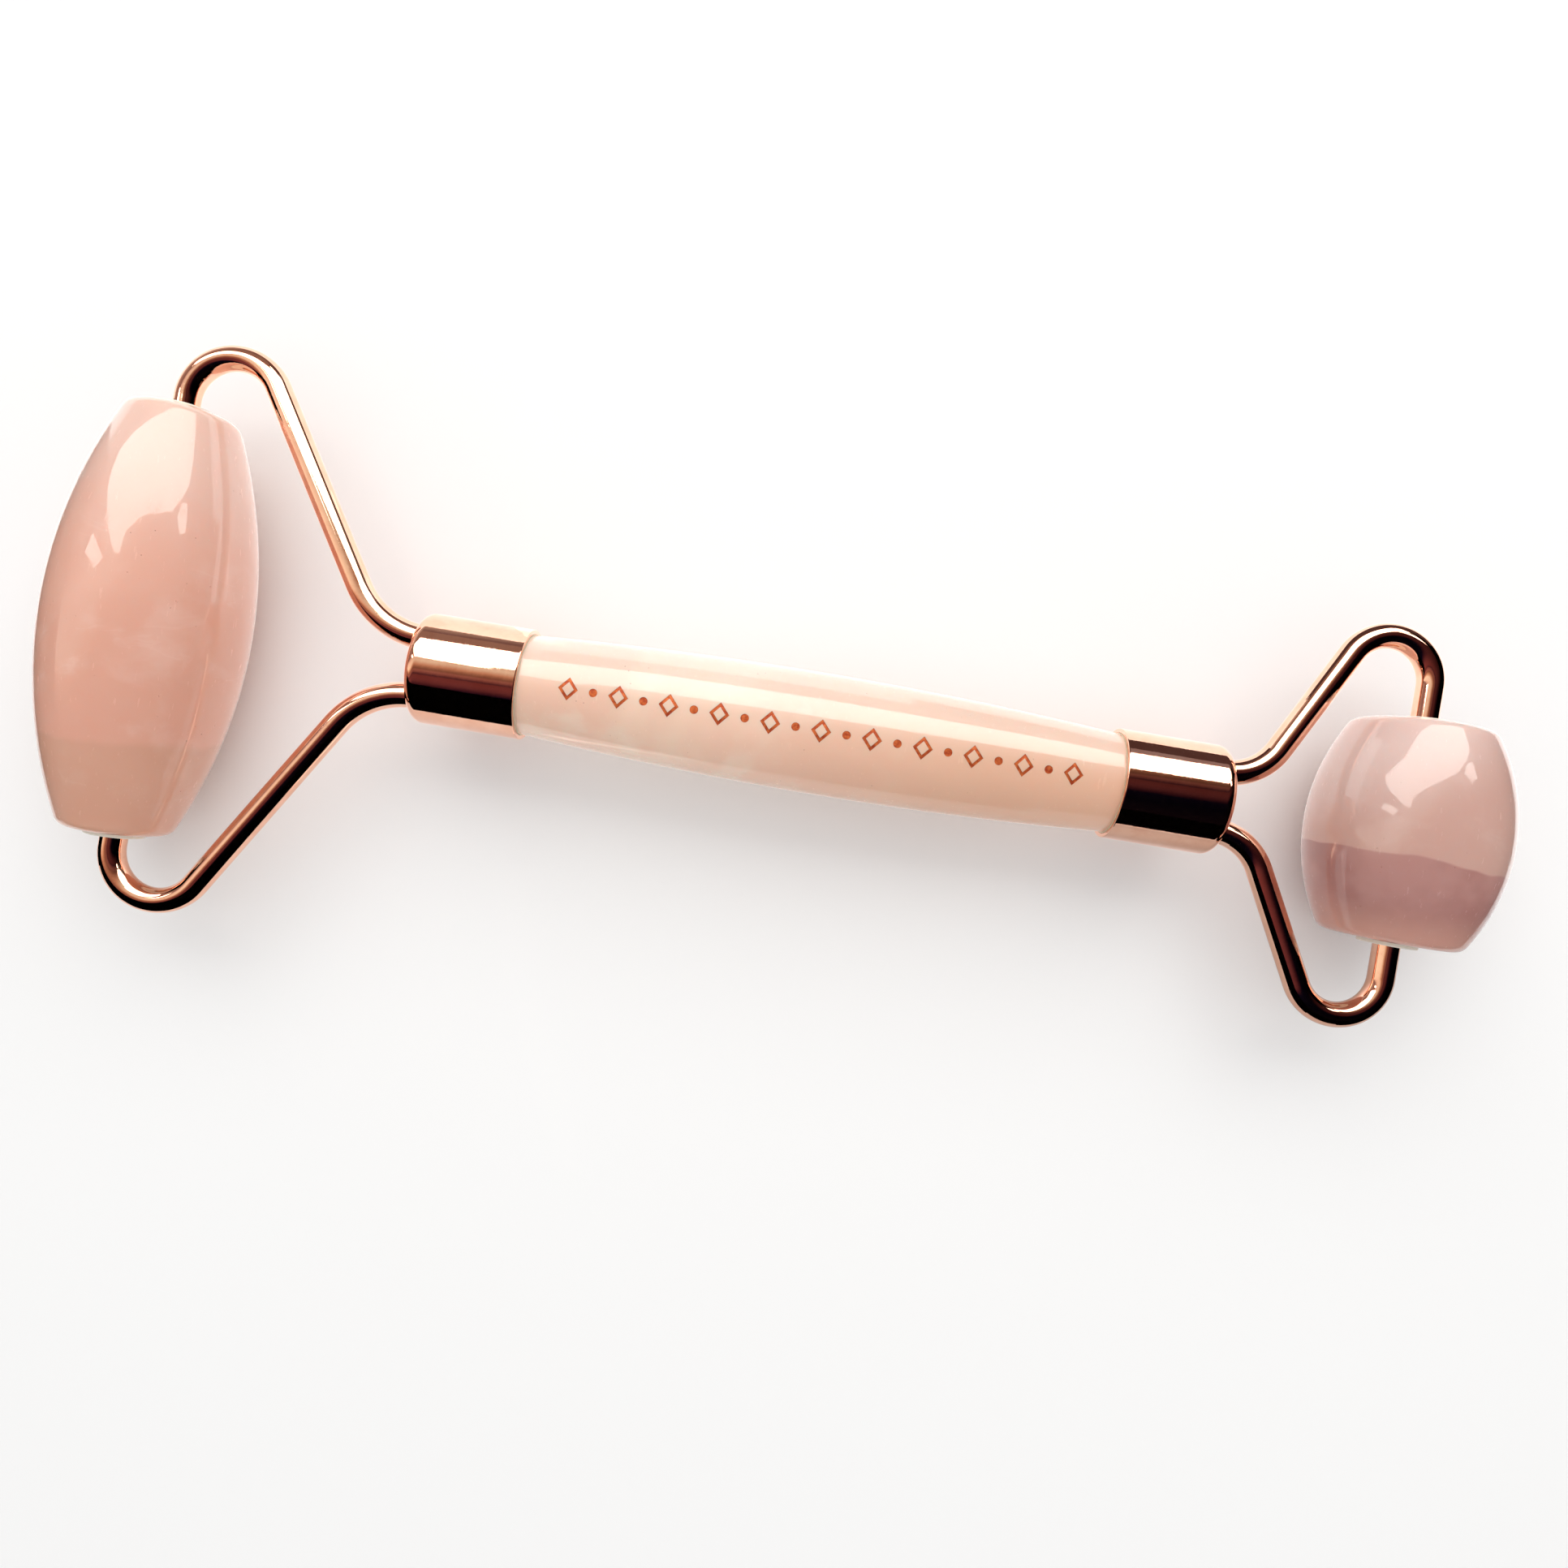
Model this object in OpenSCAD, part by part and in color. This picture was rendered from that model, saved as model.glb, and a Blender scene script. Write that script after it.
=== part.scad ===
// Two-ended face roller: a large and a small barrel stone, each turning freely between the
// arms of a wire yoke, with a stone handle between the two yokes.
// It lies flat on both stones. +X runs along the handle towards the small stone, Y runs along
// both stones' axes, and the origin is under the middle of the whole length, on the surface
// that the stones rest on. The stones share one diameter, so the handle lies level.

/* [Stones] */
// Diameter of both stones at their middle
stone_d = 18.2; // [17:0.2:22]
// Length of the large stone
large_len = 41.6; // [38:0.2:44]
// Diameter of the large stone's barrel curve at its ends
large_end_d = 9.7; // [9:0.1:14]
// Length of the small stone
small_len = 21.4; // [18:0.2:23]
// Diameter of the small stone's barrel curve at its ends
small_end_d = 12.4; // [10:0.1:15]
// Radius of the rounded edge at each end of a stone
stone_edge_r = 1.3; // [0.6:0.1:1.6]
// Diameter of the hole drilled through each stone
stone_bore_d = 3.8; // [3.6:0.1:4.4]

/* [Handle] */
// Length of handle that shows between the ferrules
handle_len = 58; // [50:1:80]
// Diameter of the handle at its middle
handle_mid_d = 12; // [10.6:0.1:14]
// Diameter of the handle where it enters a ferrule
handle_end_d = 9.8; // [9.4:0.1:9.9]
// Length of the straight tail glued inside each ferrule
handle_tail = 6; // [4:0.5:7]

/* [Ferrules] */
// Outer diameter of a ferrule
ferrule_d = 10.9; // [10.9:0.1:12]
// Length of a ferrule
ferrule_len = 10.7; // [10.5:0.1:14]
// Wall thickness of the tube
ferrule_wall = 0.45; // [0.3:0.05:0.45]
// Thickness of the closed end
ferrule_cap = 1.2; // [0.8:0.1:1.4]
// Radius of the rounded outer edge at the closed end
ferrule_edge_r = 1.1; // [0.5:0.1:1.2]

/* [Yokes] */
// Diameter of the bent wire
wire_d = 2.5; // [2:0.1:2.6]
// Distance of each wire from the handle's axis where it leaves the ferrule
exit_y = 2.9; // [2.6:0.1:3.2]
// Distance from the large ferrule's end to the large stone's axis
large_reach = 27.15; // [25:0.05:32]
// Half the width of the large yoke, to the wire's centre
large_half = 27; // [26.5:0.1:30]
// Bend radius near the ferrule on the large yoke
large_bend_in = 8.5; // [7:0.1:11]
// Bend radius beside the large stone
large_bend_out = 4.7; // [4:0.1:5]
// Distance from the small ferrule's end to the small stone's axis
small_reach = 18.9; // [18.5:0.05:24]
// Half the width of the small yoke, to the wire's centre
small_half = 18.85; // [17.5:0.05:22]
// Bend radius near the ferrule on the small yoke
small_bend_in = 5.7; // [5:0.1:7]
// Bend radius beside the small stone
small_bend_out = 4.3; // [3.8:0.1:4.6]
// Depth that a wire is glued inside the ferrule, from its end face
wire_root = 3.8; // [3:0.1:4]

/* [Bushings] */
// Radial gap between a wire and the bushing it runs in
running_gap = 0.05; // [0.02:0.01:0.1]
// Length of the sleeve pressed into the stone
sleeve_len = 4.5; // [3:0.5:7]
// Diameter of the flange that shows outside the stone
flange_d = 5.4; // [5:0.1:6.4]
// Thickness of the flange
flange_t = 0.5; // [0.3:0.1:0.6]

/* [Ornament] */
// Number of engraved motifs along the handle, lozenges and dots by turns
motif_count = 21; // [5:2:23]
// Distance between neighbouring motifs
motif_pitch = 2.4; // [1.9:0.05:2.45]
// Height of a lozenge across the handle
lozenge_h = 2.2; // [1.4:0.1:2.6]
// Width of a lozenge along the handle
lozenge_w = 1.9; // [1.4:0.1:2]
// Width of the engraved line that draws a lozenge
line_w = 0.38; // [0.25:0.01:0.4]
// Diameter of a dot
dot_d = 0.8; // [0.4:0.1:1]
// Depth of the engraving under the stone's crown
engrave_depth = 0.35; // [0.2:0.05:0.5]
// How far the gilt fill stays under the stone's surface
fill_recess = 0.06; // [0.02:0.01:0.1]

/* [Hidden] */

$fn = 96;
hole_gap = 0.02;        // radial gap of a wire in the ferrule's end hole
tail_film = 0.2;        // thickness of adhesive round the handle's tail
pin_overrun = 0.5;      // how far a wire's end passes its bushing
pin_chamfer = 0.4;      // chamfer on a wire's free end
bend_stub = 0.2;        // straight wire between the ferrule and the first bend
run_thin = 0.01;        // the straight run is this much thinner than the bends it ends in,
run_dig = 0.1;          // and reaches this far into them, so the three make one clean solid
cut = 1;                // how far a cutting solid passes the face it cuts

// Both stones touch the surface, so every axis is half a stone's diameter above it.
axis_z = stone_d / 2;
half_grip = handle_len / 2;
large_axis = half_grip + ferrule_len + large_reach;     // from the handle's middle
small_axis = half_grip + ferrule_len + small_reach;
handle_x = (large_axis - small_axis) / 2;               // handle's middle from the origin
ferrule_bore_r = ferrule_d / 2 - ferrule_wall;
tail_r = ferrule_bore_r - tail_film;
plug_len = ferrule_len - ferrule_cap - handle_tail;     // adhesive past the handle's tail

stone_color = "#e3b3a4";
handle_color = "#efd2c4";
rose_gold = "#d99a7c";
bushing_color = "#f4efe4";
gilt_color = "#c8703c";
adhesive_color = "#e8e0c8";

// ---- shared outlines ------------------------------------------------------------------

// Radius of the arc that runs through mid_r at the middle of a barrel and end_r at its ends.
function barrel_arc_r(len, mid_r, end_r) =
    let (rise = mid_r - end_r) (len * len / 4 + rise * rise) / (2 * rise);

// Half outline of a barrel, cut off flat at both ends. X is the radius, and Y runs along it.
module barrel_half(len, mid_r, end_r) {
    arc_r = barrel_arc_r(len, mid_r, end_r);
    intersection() {
        translate([mid_r - arc_r, 0]) circle(r = arc_r, $fn = 360);
        translate([0, -len / 2]) square([mid_r, len]);
    }
}

// Stands a shape drawn round Z along the row's X, or along its Y, at the axis height.
module along_x(x) { translate([x, 0, axis_z]) rotate([0, 90, 0]) children(); }
module along_y(x) { translate([x, 0, axis_z]) rotate([-90, 0, 0]) children(); }

// Puts a shape made for the small end, with its ferrule starting at x = 0, on either end.
module small_end() { translate([handle_x + half_grip, 0, axis_z]) children(); }
module large_end() { translate([handle_x - half_grip, 0, axis_z]) mirror([1, 0, 0]) children(); }

// ---- handle ---------------------------------------------------------------------------

// The handle's barrel, made smaller all round by inset.
module grip_body(inset = 0) {
    rotate_extrude() barrel_half(handle_len, handle_mid_d / 2 - inset, handle_end_d / 2 - inset);
}

// One row of motifs on the handle's crown.
module motifs() {
    for (i = [0 : motif_count - 1]) translate([(i - (motif_count - 1) / 2) * motif_pitch, 0])
        if (i % 2 == 0) lozenge_line(); else circle(d = dot_d, $fn = 48);
}

module lozenge_line() {
    shrink = 1 - 2 * line_w / min(lozenge_w, lozenge_h);
    difference() {
        lozenge(1);
        lozenge(shrink);
    }
}

module lozenge(k) {
    w = k * lozenge_w / 2;
    h = k * lozenge_h / 2;
    polygon([[w, 0], [0, h], [-w, 0], [0, -h]]);
}

// Prisms that follow the motifs down through the upper half of the handle.
module motif_prisms() {
    translate([handle_x, 0, axis_z]) linear_extrude(handle_mid_d / 2 + cut) motifs();
}

module handle_stone() {
    color(handle_color) difference() {
        along_x(handle_x) union() {
            grip_body();
            cylinder(r = tail_r, h = handle_len + 2 * handle_tail, center = true);
        }
        difference() {
            motif_prisms();
            along_x(handle_x) grip_body(engrave_depth);
        }
    }
}

module handle_gilt_ornament() {
    color(gilt_color) difference() {
        intersection() {
            motif_prisms();
            along_x(handle_x) grip_body(fill_recess);
        }
        along_x(handle_x) grip_body(engrave_depth);
    }
}

// ---- ferrules and the adhesive inside them ------------------------------------------------

module wire_holes(d, from_x, to_x) {
    for (side = [-1, 1]) translate([from_x, side * exit_y, 0]) rotate([0, 90, 0])
        cylinder(d = d, h = to_x - from_x);
}

// A drawn cup: open towards the handle at x = 0, closed and rounded at its far end.
module ferrule() {
    r = ferrule_d / 2;
    inner_len = ferrule_len - ferrule_cap;
    color(rose_gold) difference() {
        rotate([0, 90, 0]) rotate_extrude() difference() {
            union() {
                square([r, ferrule_len - ferrule_edge_r]);
                square([r - ferrule_edge_r, ferrule_len]);
                translate([r - ferrule_edge_r, ferrule_len - ferrule_edge_r])
                    circle(r = ferrule_edge_r);
            }
            translate([0, -cut]) square([ferrule_bore_r, inner_len + cut]);
        }
        wire_holes(wire_d + 2 * hole_gap, inner_len - cut, ferrule_len + cut);
    }
}

// Adhesive fills the closed end round the wires and makes a film round the handle's tail.
module ferrule_adhesive() {
    color(adhesive_color) difference() {
        rotate([0, 90, 0]) cylinder(r = ferrule_bore_r, h = handle_tail + plug_len);
        translate([-cut, 0, 0]) rotate([0, 90, 0]) cylinder(r = tail_r, h = handle_tail + cut);
        wire_holes(wire_d, ferrule_len - wire_root, ferrule_len);
    }
}

// ---- yokes ------------------------------------------------------------------------------

// Angle and length of the straight run between two bends that turn opposite ways. d is the
// step from the first bend's centre to the second's, and r is the sum of their radii.
function run_angle(d, r) = atan2(d[1], d[0]) + asin(r / norm(d));
function run_length(d, r) = sqrt(d * d - r * r);

module wire(len, d = wire_d) { rotate([0, 90, 0]) cylinder(d = d, h = len); }

module bend(r, angle) { rotate_extrude(angle = angle) translate([r, 0]) circle(d = wire_d, $fn = 48); }

// One arm on the +Y side, leaving the ferrule's end at x = ferrule_len and ending as the pin
// that the stone turns on. stone_len is the length of the stone that it carries.
module arm(reach, half, bend_in, bend_out, stone_len) {
    first = [ferrule_len + bend_stub, exit_y + bend_in];
    second = [ferrule_len + reach - bend_out, half - bend_out];
    angle = run_angle(second - first, bend_in + bend_out);
    run = run_length(second - first, bend_in + bend_out);
    pin_end = stone_len / 2 - sleeve_len - pin_overrun;
    color(rose_gold) union() {
        translate([ferrule_len - wire_root, exit_y, 0]) wire(wire_root + bend_stub);
        translate(first) rotate([0, 0, -90]) bend(bend_in, angle);
        translate(first + bend_in * [sin(angle), -cos(angle)]) rotate([0, 0, angle])
            translate([-run_dig, 0, 0]) wire(run + 2 * run_dig, wire_d - run_thin);
        translate(second) bend(bend_out, angle + 90);
        translate([ferrule_len + reach, pin_end, 0]) rotate([-90, 0, 0]) {
            translate([0, 0, pin_chamfer])
                cylinder(d = wire_d, h = second[1] - pin_end - pin_chamfer);
            cylinder(d1 = wire_d - 2 * pin_chamfer, d2 = wire_d, h = pin_chamfer);
        }
    }
}

module large_arm() { arm(large_reach, large_half, large_bend_in, large_bend_out, large_len); }
module small_arm() { arm(small_reach, small_half, small_bend_in, small_bend_out, small_len); }

// ---- rollers ------------------------------------------------------------------------------

// A barrel stone round Z: the barrel curve in the middle, rounded edges at both ends.
module roller_stone(len, end_d) {
    mid_r = stone_d / 2;
    arc_r = barrel_arc_r(len, mid_r, end_d / 2);
    edge_y = len / 2 - stone_edge_r;                    // height of the edge circle's centre
    edge_x = sqrt(pow(arc_r - stone_edge_r, 2) - edge_y * edge_y) - (arc_r - mid_r);
    touch_y = edge_y * arc_r / (arc_r - stone_edge_r);  // where the edge meets the barrel curve
    color(stone_color) difference() {
        rotate_extrude() union() {
            intersection() {
                barrel_half(len, mid_r, end_d / 2);
                translate([0, -touch_y]) square([mid_r, 2 * touch_y]);
            }
            translate([0, -len / 2]) square([edge_x, len]);
            for (side = [-1, 1]) translate([edge_x, side * edge_y]) circle(r = stone_edge_r);
        }
        cylinder(d = stone_bore_d, h = len + 2 * cut, center = true);
    }
}

// A flanged sleeve at the +Z end of a stone.
module bushing(stone_len) {
    bore_r = wire_d / 2 + running_gap;
    color(bushing_color) translate([0, 0, stone_len / 2]) difference() {
        union() {
            cylinder(d = flange_d, h = flange_t);
            translate([0, 0, -sleeve_len]) cylinder(d = stone_bore_d, h = sleeve_len);
        }
        translate([0, 0, -sleeve_len - cut]) cylinder(r = bore_r, h = sleeve_len + flange_t + 2 * cut);
    }
}

module large_place() { along_y(handle_x - large_axis) children(); }
module small_place() { along_y(handle_x + small_axis) children(); }

// ---- the nodes ----------------------------------------------------------------------------

handle_stone();
handle_gilt_ornament();
large_end() ferrule();  // large_ferrule
small_end() ferrule();  // small_ferrule
large_end() ferrule_adhesive();  // large_ferrule_adhesive
small_end() ferrule_adhesive();  // small_ferrule_adhesive
large_end() large_arm();  // large_yoke_arm_left
large_end() mirror([0, 1, 0]) large_arm();  // large_yoke_arm_right
small_end() small_arm();  // small_yoke_arm_left
small_end() mirror([0, 1, 0]) small_arm();  // small_yoke_arm_right
large_place() roller_stone(large_len, large_end_d);  // large_roller_stone
small_place() roller_stone(small_len, small_end_d);  // small_roller_stone
large_place() bushing(large_len);  // large_bushing_left
large_place() mirror([0, 0, 1]) bushing(large_len);  // large_bushing_right
small_place() bushing(small_len);  // small_bushing_left
small_place() mirror([0, 0, 1]) bushing(small_len);  // small_bushing_right
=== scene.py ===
"""Two-ended rose quartz face roller with rose-gold yokes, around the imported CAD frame."""

import math

import bmesh
import bpy
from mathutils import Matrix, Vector

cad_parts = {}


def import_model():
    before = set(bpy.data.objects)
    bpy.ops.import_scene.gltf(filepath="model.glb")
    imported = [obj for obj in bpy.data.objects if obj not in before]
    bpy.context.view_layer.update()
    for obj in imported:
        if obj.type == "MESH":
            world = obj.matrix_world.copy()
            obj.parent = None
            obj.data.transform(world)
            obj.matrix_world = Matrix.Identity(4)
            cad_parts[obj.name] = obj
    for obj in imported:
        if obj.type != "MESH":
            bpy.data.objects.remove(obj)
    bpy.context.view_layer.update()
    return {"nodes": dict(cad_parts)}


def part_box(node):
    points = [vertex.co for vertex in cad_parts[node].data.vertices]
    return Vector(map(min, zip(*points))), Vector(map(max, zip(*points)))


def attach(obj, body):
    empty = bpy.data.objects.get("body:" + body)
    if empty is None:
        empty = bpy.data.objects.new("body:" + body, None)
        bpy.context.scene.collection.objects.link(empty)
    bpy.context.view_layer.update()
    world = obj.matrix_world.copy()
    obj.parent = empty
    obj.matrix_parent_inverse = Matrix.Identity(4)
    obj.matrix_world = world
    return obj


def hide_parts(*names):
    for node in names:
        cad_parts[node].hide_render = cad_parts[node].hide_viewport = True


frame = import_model()

MM = 0.001                   # a millimetre, in metres

# Sizes that a bounding box can't give, in millimetres, as the CAD model has them.
LARGE_END_D = 9.7            # barrel curve of a stone at its ends
SMALL_END_D = 12.4
STONE_EDGE_R = 1.3
STONE_BORE_R = 1.9
HANDLE_TAIL = 6.0
HANDLE_TAIL_R = 4.8
HANDLE_END_R = 4.9
FERRULE_WALL = 0.45
FERRULE_CAP = 1.2
FERRULE_EDGE_R = 1.1
WIRE_R = 1.25
WIRE_HOLE_R = 1.27
EXIT_Y = 2.9
WIRE_ROOT = 3.8
BEND_STUB = 0.2
PIN_DEPTH = 5.0              # from a stone's end face to the wire's free end
PIN_CHAMFER = 0.4
LARGE_BENDS = (8.5, 4.7)     # radius of the bend near the ferrule, and beside the stone
SMALL_BENDS = (5.7, 4.3)
BUSHING_BORE_R = 1.3
FLANGE_R = 2.7
FLANGE_T = 0.5
MOTIF_COUNT = 21
MOTIF_PITCH = 2.4
LOZENGE_H = 2.2
LOZENGE_W = 1.9
LINE_W = 0.38
DOT_D = 0.8
ENGRAVE_DEPTH = 0.35
FILL_RECESS = 0.06

# Small edges that the CAD model leaves sharp.
LIP_R = 0.1                  # both edges of a ferrule's rim
FLANGE_EDGE_R = 0.12
BORE_CHAMFER = 0.1

# Distance from a rounded edge to the ring of points that keeps the face beside it flat.
FINE_LOOP = 0.05
WIDE_LOOP = 0.1
STONE_LOOP = 0.15

# Points round a ring, and the angle above which an edge stays sharp.
RING_STEPS = 256
SLEEVE_STEPS = 128
DRILL_STEPS = 96
WIRE_STEPS = 64
SHARP_DEG = 35

CUT_PAST = 1                 # how far a cutting tool reaches past what it cuts


# ---- measures of the CAD nodes, in millimetres ---------------------------------------------------

def node_box(name):
    lo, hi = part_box(name)
    return lo / MM, hi / MM


def node_middle(name):
    lo, hi = node_box(name)
    return (lo + hi) / 2


HANDLE_LO, HANDLE_HI = node_box("handle_stone")
AXIS_Z = node_middle("handle_stone").z
HANDLE_X = node_middle("handle_stone").x
HALF_GRIP = (HANDLE_HI.x - HANDLE_LO.x) / 2 - HANDLE_TAIL
HANDLE_MID_R = (HANDLE_HI.y - HANDLE_LO.y) / 2
FERRULE_LO, FERRULE_HI = node_box("small_ferrule")
FERRULE_LEN = FERRULE_HI.x - FERRULE_LO.x
FERRULE_R = (FERRULE_HI.y - FERRULE_LO.y) / 2


# ---- meshes --------------------------------------------------------------------------------------

def arc(cx, cy, radius, start, stop, steps):
    """steps + 1 points on a circle, between two angles in degrees."""
    angles = [math.radians(start + (stop - start) * i / steps) for i in range(steps + 1)]
    return [(cx + radius * math.cos(a), cy + radius * math.sin(a)) for a in angles]


def round_edge(along, out, radius, start, stop, steps):
    """A profile's rounded edge as (distance along, radius) points. An angle of 0 degrees is
    straight outward from the axis, and 90 is along it."""
    return [(s, r) for r, s in arc(out, along, radius, start, stop, steps)]


def shade(mesh, sharp_deg=SHARP_DEG):
    """Smooth shading, in which edges over that angle stay sharp."""
    mesh.polygons.foreach_set("use_smooth", [True] * len(mesh.polygons))
    mesh.set_sharp_from_angle(angle=math.radians(sharp_deg))


def make_object(name, verts, faces):
    """A smooth mesh object from points in millimetres in the row frame."""
    mesh = bpy.data.meshes.new(name)
    mesh.from_pydata([Vector(v) * MM for v in verts], [], faces)
    bm = bmesh.new()
    bm.from_mesh(mesh)
    bmesh.ops.recalc_face_normals(bm, faces=bm.faces)
    bm.to_mesh(mesh)
    bm.free()
    shade(mesh)
    obj = bpy.data.objects.new(name, mesh)
    bpy.context.scene.collection.objects.link(obj)
    return obj


def revolve(name, profile, along, centre, segments=RING_STEPS, closed=True):
    """Turns a profile of (distance along, radius) points round the X or Y axis through centre.
    A closed profile makes a ring. An open one starts and ends on the axis."""
    verts, faces, rings = [], [], []
    for s, r in profile:
        count = segments if r > 0 else 1
        rings.append(list(range(len(verts), len(verts) + count)))
        for k in range(count):
            a = 2 * math.pi * k / segments
            u, v = r * math.cos(a), r * math.sin(a)
            offset = (s, u, v) if along == "x" else (u, s, v)
            verts.append(Vector(centre) + Vector(offset))
    pairs = list(zip(rings, rings[1:]))
    if closed:
        pairs.append((rings[-1], rings[0]))
    for a, b in pairs:
        for k in range(segments):
            j = (k + 1) % segments
            if len(a) == 1:
                faces.append((a[0], b[k], b[j]))
            elif len(b) == 1:
                faces.append((a[k], b[0], a[j]))
            else:
                faces.append((a[k], b[k], b[j], a[j]))
    return make_object(name, verts, faces)


def sweep(name, path, radii):
    """A round bar along a path that lies in the plane z = AXIS_Z. path holds (x, y) points."""
    verts, faces = [], []
    for i, (x, y) in enumerate(path):
        x0, y0 = path[max(i - 1, 0)]
        x1, y1 = path[min(i + 1, len(path) - 1)]
        d = math.hypot(x1 - x0, y1 - y0)
        nx, ny = -(y1 - y0) / d, (x1 - x0) / d
        for k in range(WIRE_STEPS):
            a = 2 * math.pi * k / WIRE_STEPS
            u, v = radii[i] * math.cos(a), radii[i] * math.sin(a)
            verts.append((x + nx * u, y + ny * u, AXIS_Z + v))
    for i in range(len(path) - 1):
        for k in range(WIRE_STEPS):
            j = (k + 1) % WIRE_STEPS
            a, b = i * WIRE_STEPS, (i + 1) * WIRE_STEPS
            faces.append((a + k, a + j, b + j, b + k))
    last = (len(path) - 1) * WIRE_STEPS
    faces.append(tuple(range(WIRE_STEPS)))
    faces.append(tuple(reversed(range(last, last + WIRE_STEPS))))
    return make_object(name, verts, faces)


def cut_with(obj, tool, operation):
    """Applies a boolean between obj and tool, and deletes the tool."""
    mod = obj.modifiers.new("cut", "BOOLEAN")
    mod.operation, mod.solver, mod.object = operation, "EXACT", tool
    bpy.context.view_layer.update()
    result = obj.evaluated_get(bpy.context.evaluated_depsgraph_get())
    mesh = bpy.data.meshes.new_from_object(result)
    obj.modifiers.clear()
    old, obj.data = obj.data, mesh
    bpy.data.meshes.remove(old)
    mesh.name = obj.name
    bpy.data.objects.remove(tool)


def barrel_arc_r(half_len, mid_r, end_r):
    """Radius of the arc that a barrel's outline follows."""
    rise = mid_r - end_r
    return (half_len * half_len + rise * rise) / (2 * rise)


def barrel_r(s, half_len, mid_r, end_r):
    """Radius of a barrel at distance s from its middle."""
    big = barrel_arc_r(half_len, mid_r, end_r)
    return math.sqrt(big * big - s * s) - (big - mid_r)


# ---- the stones and their bushings ---------------------------------------------------------------

def stone_profile(half_len, mid_r, end_r):
    """Outline of a drilled barrel stone: end face, rounded edge, barrel curve, and back."""
    big = barrel_arc_r(half_len, mid_r, end_r)
    edge_y = half_len - STONE_EDGE_R
    edge_r = math.sqrt((big - STONE_EDGE_R) ** 2 - edge_y ** 2) - (big - mid_r)
    lean = math.degrees(math.asin(edge_y / (big - STONE_EDGE_R)))
    face = [(half_len, STONE_BORE_R), (half_len, edge_r - STONE_LOOP)]
    upper = face + round_edge(edge_y, edge_r, STONE_EDGE_R, 90, lean, steps=14)
    limit = edge_y * big / (big - STONE_EDGE_R)
    steps = 90
    curve = [limit * math.cos(math.pi * i / steps) for i in range(1, steps)]
    middle = [(s, barrel_r(s, half_len, mid_r, end_r)) for s in curve]
    lower = [(-s, r) for s, r in reversed(upper)]
    return upper + middle + lower


def roller_stone(name, node, end_d):
    lo, hi = node_box(node)
    profile = stone_profile((hi.y - lo.y) / 2, (hi.x - lo.x) / 2, end_d / 2)
    return revolve(name, profile, "y", (lo + hi) / 2)


def bushing(name, node, side):
    """A flanged sleeve. side is +1 at a stone's +Y end and -1 at its -Y end."""
    lo, hi = node_box(node)
    mid = (lo + hi) / 2
    inner, outer = (lo.y, hi.y) if side > 0 else (hi.y, lo.y)
    seat = outer - side * FLANGE_T
    profile = [
        (inner, BUSHING_BORE_R + BORE_CHAMFER), (inner + side * BORE_CHAMFER, BUSHING_BORE_R),
        (outer - side * BORE_CHAMFER, BUSHING_BORE_R), (outer, BUSHING_BORE_R + BORE_CHAMFER),
        (outer, FLANGE_R - FLANGE_EDGE_R - FINE_LOOP),
    ]
    edge = round_edge(0, FLANGE_R - FLANGE_EDGE_R, FLANGE_EDGE_R, 90, 0, steps=6)
    profile += [(outer - side * FLANGE_EDGE_R + side * s, r) for s, r in edge]
    profile += [(seat, FLANGE_R), (seat, STONE_BORE_R), (inner, STONE_BORE_R)]
    profile = [(s - mid.y, r) for s, r in profile]
    return revolve(name, profile, "y", mid, SLEEVE_STEPS)


# ---- the ferrules and wires ----------------------------------------------------------------------

def ferrule_profile():
    """Outline of a drawn cup, from the middle of its floor inside to the middle of its cap."""
    bore, depth = FERRULE_R - FERRULE_WALL, FERRULE_LEN - FERRULE_CAP
    shoulder, flat = FERRULE_LEN - FERRULE_EDGE_R, FERRULE_R - FERRULE_EDGE_R
    profile = [(depth, 0.0), (depth, bore - BORE_CHAMFER), (depth - BORE_CHAMFER, bore)]
    profile += [(LIP_R + FINE_LOOP, bore)]
    profile += round_edge(LIP_R, bore + LIP_R, LIP_R, 180, 270, steps=6)
    profile += round_edge(LIP_R, FERRULE_R - LIP_R, LIP_R, 270, 360, steps=6)
    profile += [(LIP_R + FINE_LOOP, FERRULE_R), (shoulder - WIDE_LOOP, FERRULE_R)]
    profile += round_edge(shoulder, flat, FERRULE_EDGE_R, 0, 90, steps=20)
    profile += [(FERRULE_LEN, flat - WIDE_LOOP), (FERRULE_LEN, 0.0)]
    return profile


def ferrule(name, side):
    """A cup with two wire holes. side is +1 at the small end of the handle and -1 at the large."""
    x = HANDLE_X + side * HALF_GRIP
    profile = [(side * s, r) for s, r in ferrule_profile()]
    obj = revolve(name, profile, "x", (x, 0, AXIS_Z), closed=False)
    reach = (FERRULE_LEN - FERRULE_CAP - CUT_PAST, FERRULE_LEN + CUT_PAST)
    near, far = sorted(side * s for s in reach)
    for y in (-EXIT_Y, EXIT_Y):
        drill = [(near, 0.0), (near, WIRE_HOLE_R), (far, WIRE_HOLE_R), (far, 0.0)]
        tool = revolve("drill", drill, "x", (x, y, AXIS_Z), DRILL_STEPS, closed=False)
        cut_with(obj, tool, "DIFFERENCE")
    shade(obj.data, sharp_deg=32)
    return obj


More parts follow.
